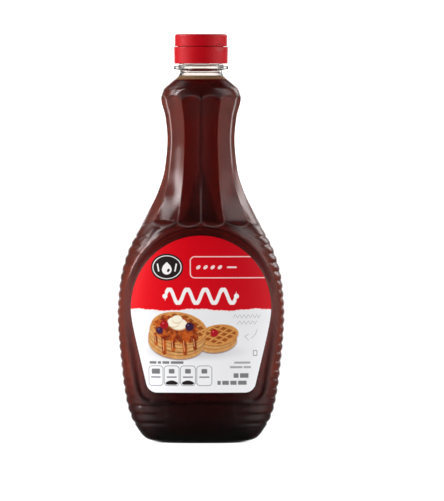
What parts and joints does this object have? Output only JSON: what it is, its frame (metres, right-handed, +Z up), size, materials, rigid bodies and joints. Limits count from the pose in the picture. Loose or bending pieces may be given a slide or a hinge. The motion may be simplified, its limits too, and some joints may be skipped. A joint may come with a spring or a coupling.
{
  "type": "syrup bottle",
  "caption": "Clear squeeze bottle of dark pancake syrup with a fluted neck, ribbed grip edges, arched label panels and a red hinged flip-top cap.",
  "frame": {"origin": "middle of the bottle's foot, on the plane it stands on", "axes": "+Z up the bottle to its cap, -Y out of the front label, +X to the right of someone looking at the front"},
  "size_m": [0.1008, 0.0632, 0.2449],
  "materials": {
    "clear_plastic": "clear blow-moulded plastic, glossy",
    "syrup": "dark maroon syrup, nearly opaque in the body, red-brown where thin",
    "front_label": "printed film in red and white, satin",
    "back_label": "printed film in white with a red band, satin",
    "cap_plastic": "moulded red plastic, satin"
  },
  "bodies": {
    "bottle": {"bottle": "clear_plastic", "syrup": "syrup", "front_label": "front_label", "back_label": "back_label", "cap_base": "cap_plastic"},
    "lid": {"flip_lid": "cap_plastic"}
  },
  "joints": [
    {"name": "lid_hinge", "type": "hinge", "parent": "bottle", "child": "lid", "pos_m": [-0.01181, 0.01181, 0.23745], "axis": [-0.7071, -0.7071, 0], "range_deg": [0, 120]}
  ]
}
